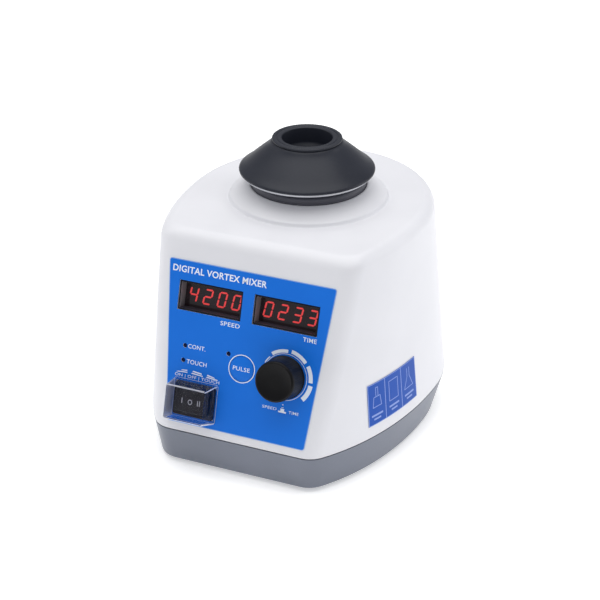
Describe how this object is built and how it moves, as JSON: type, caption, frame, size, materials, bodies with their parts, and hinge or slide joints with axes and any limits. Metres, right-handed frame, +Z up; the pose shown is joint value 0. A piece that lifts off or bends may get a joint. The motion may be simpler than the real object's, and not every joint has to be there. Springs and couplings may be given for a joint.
{
  "type": "vortex mixer",
  "caption": "Benchtop vortex mixer: leaning control panel with two displays, knob, pulse key and covered rocker, and an orbiting rubber cup head that can be pressed.",
  "frame": {"origin": "centre of the bounding box at the table, under the feet", "axes": "+Z up, the control panel faces -Y, +X is to the right of someone facing the panel"},
  "size_m": [0.1468, 0.1797, 0.1518],
  "materials": {
    "white_shell": "moulded white plastic, fine satin grain",
    "grey_base": "satin grey paint on a die casting",
    "blue_label": "printed polyester overlay, satin",
    "side_sticker": "printed polyester sticker",
    "display_body": "grey and black moulded display case",
    "lit_red": "lit red segments",
    "led_lens": "dark unlit lens",
    "green_board": "green solder mask",
    "zinc": "zinc-plated steel",
    "knob_black": "matt black moulding",
    "natural_plastic": "natural nylon",
    "black_plastic": "black moulded plastic",
    "button_blue": "printed blue cap",
    "rocker_black": "black moulded rocker with printed marks",
    "clear_cover": "clear soft plastic cover",
    "cup_rubber": "dark grey rubber",
    "plate_alu": "turned aluminium",
    "dark_alu": "dull aluminium",
    "bearing_steel": "ground bearing steel",
    "hub_steel": "turned steel",
    "brass_weight": "sawn brass",
    "splash_rubber": "black moulded rubber",
    "motor_steel": "drawn steel can",
    "spring_steel": "spring wire",
    "cast_weight": "black-coated cast iron",
    "foot_rubber": "black rubber",
    "pin_brass": "plated brass",
    "tape_yellow": "yellow coil tape",
    "cap_blue": "sleeved capacitor"
  },
  "bodies": {
    "chassis": {"housing_shell": "white_shell", "base_pan": "grey_base", "front_label": "blue_label", "side_label": "side_sticker", "speed_display": "display_body", "time_display": "display_body", "speed_digits": "lit_red", "time_digits": "lit_red", "indicator_leds": "led_lens", "control_board": "green_board", "board_standoffs": "zinc", "board_screws": "zinc", "encoder_body": "black_plastic", "encoder_nut": "zinc", "pulse_switch": "black_plastic", "rocker_frame": "black_plastic", "switch_cover": "clear_cover", "splash_ring": "splash_rubber", "guide_posts": "zinc", "post_screws": "zinc", "press_springs": "spring_steel", "touch_switch": "black_plastic", "ballast_plate": "cast_weight", "rubber_feet": "foot_rubber", "base_screws": "zinc", "power_inlet": "black_plastic", "inlet_pins": "pin_brass", "inlet_screws": "zinc", "power_board": "green_board", "transformer": "tape_yellow", "power_capacitor": "cap_blue"},
    "spindle": {"motor_shaft": "hub_steel", "eccentric_hub": "hub_steel", "counterweight": "brass_weight"},
    "carriage": {"motor_plate": "zinc", "motor_can": "motor_steel", "motor_bearings": "bearing_steel"},
    "head": {"cup": "cup_rubber", "head_plate": "plate_alu", "head_hub": "dark_alu", "head_bearing": "bearing_steel"},
    "encoder_wheel": {"encoder_rotor": "natural_plastic"},
    "knob": {"knob": "knob_black", "knob_spindle": "zinc"},
    "pulse_key": {"pulse_button": "button_blue"},
    "rocker": {"rocker": "rocker_black"}
  },
  "joints": [
    {"name": "head_press", "type": "slide", "parent": "chassis", "child": "carriage", "axis": [0, 0, -1], "range_m": [0, 0.0015], "stiffness_N_per_m": 6000, "springref_m": -0.004, "deforming": ["press_springs"]},
    {"name": "motor_spin", "type": "hinge", "parent": "carriage", "child": "spindle", "pos_m": [0, 0.01398, 0.11], "axis": [0, 0, 1], "continuous": true},
    {"name": "head_follow", "type": "hinge", "parent": "spindle", "child": "head", "pos_m": [0, 0.01198, 0.122], "axis": [0, 0, 1], "continuous": true},
    {"name": "knob_turn", "type": "hinge", "parent": "chassis", "child": "encoder_wheel", "pos_m": [0.0235, -0.06943, 0.05904], "axis": [0, -0.9576, 0.288], "continuous": true},
    {"name": "knob_push", "type": "slide", "parent": "encoder_wheel", "child": "knob", "axis": [0, 0.9576, -0.288], "range_m": [0, 0.0005], "stiffness_N_per_m": 3000, "springref_m": -0.0003},
    {"name": "pulse_push", "type": "slide", "parent": "chassis", "child": "pulse_key", "axis": [0, 0.9576, -0.288], "range_m": [0, 0.0003], "stiffness_N_per_m": 3000, "springref_m": -0.0002},
    {"name": "rocker_tilt", "type": "hinge", "parent": "chassis", "child": "rocker", "pos_m": [-0.0235, -0.07628, 0.03834], "axis": [0, 0.288, 0.9576], "range_deg": [-8, 8]}
  ],
  "couplings": [
    {"joint": "head_follow", "follows": "motor_spin", "ratio": -1}
  ]
}
